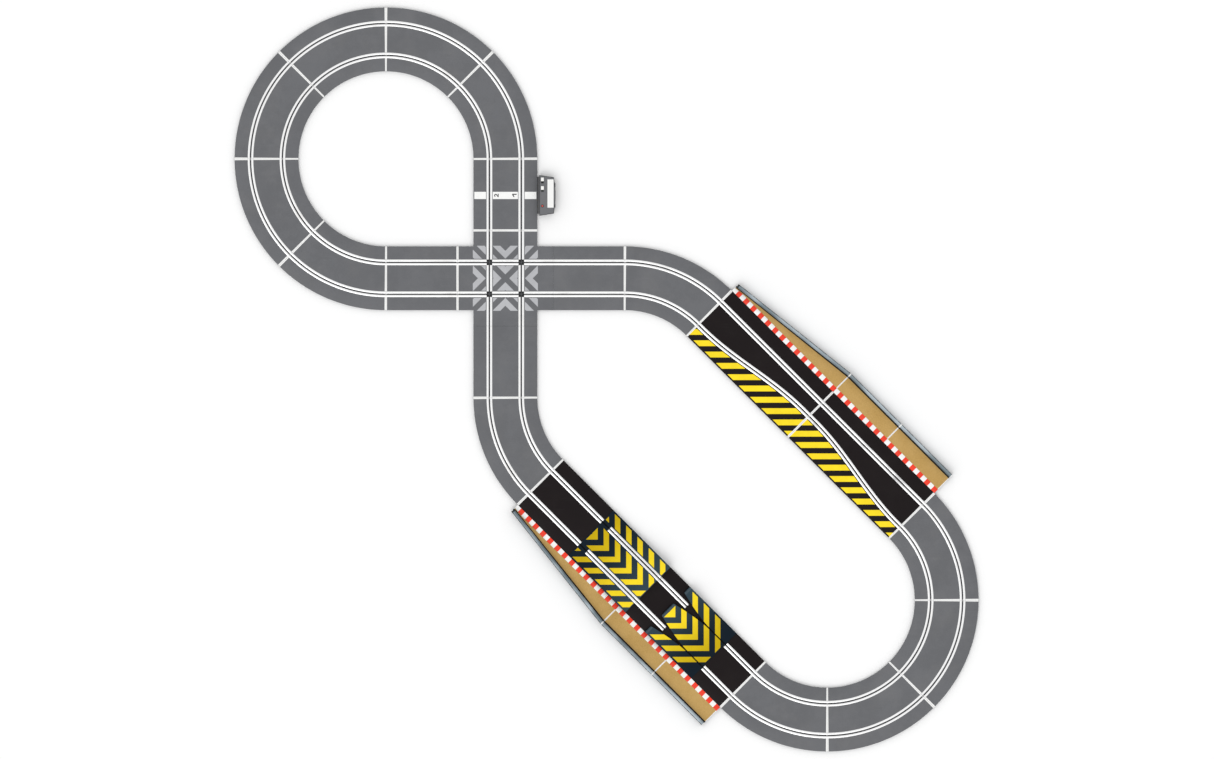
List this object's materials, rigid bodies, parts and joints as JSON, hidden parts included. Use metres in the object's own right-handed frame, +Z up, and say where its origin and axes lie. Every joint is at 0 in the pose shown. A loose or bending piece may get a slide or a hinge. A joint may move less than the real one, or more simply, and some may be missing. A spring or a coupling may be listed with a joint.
{
  "type": "slot car track set",
  "caption": "Two-lane slot car circuit in a figure of eight: clip-together track sections, crossing, squeeze, jump ramps, borders with barriers and a control box.",
  "frame": {"origin": "middle of the layout's bounding box, on the floor", "axes": "+Z up; +X and +Y lie along the two roads that cross"},
  "size_m": [1.819, 1.819, 0.0278],
  "materials": {
    "grey_track": "fine moulded texture",
    "black_track": "fine moulded texture",
    "ramp_plastic": "satin moulded, printed chevrons",
    "rail_metal": "bright plated strip",
    "run_off": "sandy moulded texture",
    "barrier_plastic": "satin",
    "box_grey": "satin",
    "box_dark": "satin",
    "socket_black": "satin",
    "switch_white": "smooth",
    "lens_red": "clear tinted",
    "board_green": "coated board",
    "feed_brass": "bright strip",
    "screw_steel": "zinc plated",
    "white_print": "printed",
    "pale_print": "printed",
    "yellow_print": "printed",
    "kerb_red": "printed"
  },
  "bodies": {
    "track": {"bend_to_jump": "grey_track", "bend_to_squeeze": "grey_track", "case_screw_1": "screw_steel", "case_screw_2": "screw_steel", "circuit_board": "board_green", "control_cover": "box_grey", "control_housing": "box_dark", "controller_socket_1": "socket_black", "controller_socket_2": "socket_black", "crossing_bed": "grey_track", "far_loop_curve_1": "grey_track", "far_loop_curve_2": "grey_track", "far_loop_curve_3": "grey_track", "far_loop_curve_4": "grey_track", "feed_common": "feed_brass", "feed_lane_1": "feed_brass", "feed_lane_2": "feed_brass", "half_straight_left": "grey_track", "half_straight_lower": "grey_track", "half_straight_right": "grey_track", "indicator_lens": "lens_red", "jump_bed_1": "black_track", "jump_bed_2": "black_track", "power_base_bed": "grey_track", "power_inlet": "socket_black", "power_rail_1": "rail_metal", "power_rail_2": "rail_metal", "power_rail_3": "rail_metal", "power_rail_4": "rail_metal", "small_loop_curve_1": "grey_track", "small_loop_curve_2": "grey_track", "small_loop_curve_3": "grey_track", "small_loop_curve_4": "grey_track", "small_loop_curve_5": "grey_track", "small_loop_curve_6": "grey_track", "squeeze_bed_1": "black_track", "squeeze_bed_2": "black_track"},
    "takeoff_ramp": {"takeoff_ramp": "ramp_plastic", "ramp_rail_1": "rail_metal", "ramp_rail_2": "rail_metal", "ramp_rail_3": "rail_metal", "ramp_rail_4": "rail_metal"},
    "landing_ramp": {"landing_ramp": "ramp_plastic"},
    "lane_switch_1": {"lane_switch_1": "switch_white"},
    "lane_switch_2": {"lane_switch_2": "switch_white"},
    "squeeze_lead_in_border": {"squeeze_lead_in_border": "run_off"},
    "squeeze_lead_in_barrier": {"squeeze_lead_in_barrier": "barrier_plastic"},
    "squeeze_middle_border": {"squeeze_middle_border": "run_off"},
    "squeeze_middle_barrier": {"squeeze_middle_barrier": "barrier_plastic"},
    "squeeze_end_border": {"squeeze_end_border": "run_off"},
    "squeeze_end_barrier": {"squeeze_end_barrier": "barrier_plastic"},
    "jump_lead_in_border": {"jump_lead_in_border": "run_off"},
    "jump_lead_in_barrier": {"jump_lead_in_barrier": "barrier_plastic"},
    "jump_middle_border": {"jump_middle_border": "run_off"},
    "jump_middle_barrier": {"jump_middle_barrier": "barrier_plastic"},
    "jump_end_border": {"jump_end_border": "run_off"},
    "jump_end_barrier": {"jump_end_barrier": "barrier_plastic"}
  },
  "joints": [
    {"name": "takeoff_lift", "type": "slide", "parent": "track", "child": "takeoff_ramp", "axis": [0, 0, 1], "range_m": [0, 0.02]},
    {"name": "landing_lift", "type": "slide", "parent": "track", "child": "landing_ramp", "axis": [0, 0, 1], "range_m": [0, 0.02]},
    {"name": "lane_switch_1_slide", "type": "slide", "parent": "track", "child": "lane_switch_1", "axis": [0, -1, 0], "range_m": [0, 0.006]},
    {"name": "lane_switch_2_slide", "type": "slide", "parent": "track", "child": "lane_switch_2", "axis": [0, -1, 0], "range_m": [0, 0.006]},
    {"name": "squeeze_lead_in_border_unclip", "type": "slide", "parent": "track", "child": "squeeze_lead_in_border", "axis": [0.7071, 0.7071, 0], "range_m": [0, 0.01]},
    {"name": "squeeze_lead_in_barrier_lift", "type": "slide", "parent": "squeeze_lead_in_border", "child": "squeeze_lead_in_barrier", "axis": [0, 0, 1], "range_m": [0, 0.01]},
    {"name": "squeeze_middle_border_unclip", "type": "slide", "parent": "track", "child": "squeeze_middle_border", "axis": [0.7071, 0.7071, 0], "range_m": [0, 0.01]},
    {"name": "squeeze_middle_barrier_lift", "type": "slide", "parent": "squeeze_middle_border", "child": "squeeze_middle_barrier", "axis": [0, 0, 1], "range_m": [0, 0.01]},
    {"name": "squeeze_end_border_unclip", "type": "slide", "parent": "track", "child": "squeeze_end_border", "axis": [0.7071, 0.7071, 0], "range_m": [0, 0.01]},
    {"name": "squeeze_end_barrier_lift", "type": "slide", "parent": "squeeze_end_border", "child": "squeeze_end_barrier", "axis": [0, 0, 1], "range_m": [0, 0.01]},
    {"name": "jump_lead_in_border_unclip", "type": "slide", "parent": "track", "child": "jump_lead_in_border", "axis": [-0.7071, -0.7071, 0], "range_m": [0, 0.01]},
    {"name": "jump_lead_in_barrier_lift", "type": "slide", "parent": "jump_lead_in_border", "child": "jump_lead_in_barrier", "axis": [0, 0, 1], "range_m": [0, 0.01]},
    {"name": "jump_middle_border_unclip", "type": "slide", "parent": "track", "child": "jump_middle_border", "axis": [-0.7071, -0.7071, 0], "range_m": [0, 0.01]},
    {"name": "jump_middle_barrier_lift", "type": "slide", "parent": "jump_middle_border", "child": "jump_middle_barrier", "axis": [0, 0, 1], "range_m": [0, 0.01]},
    {"name": "jump_end_border_unclip", "type": "slide", "parent": "track", "child": "jump_end_border", "axis": [-0.7071, -0.7071, 0], "range_m": [0, 0.01]},
    {"name": "jump_end_barrier_lift", "type": "slide", "parent": "jump_end_border", "child": "jump_end_barrier", "axis": [0, 0, 1], "range_m": [0, 0.01]}
  ]
}
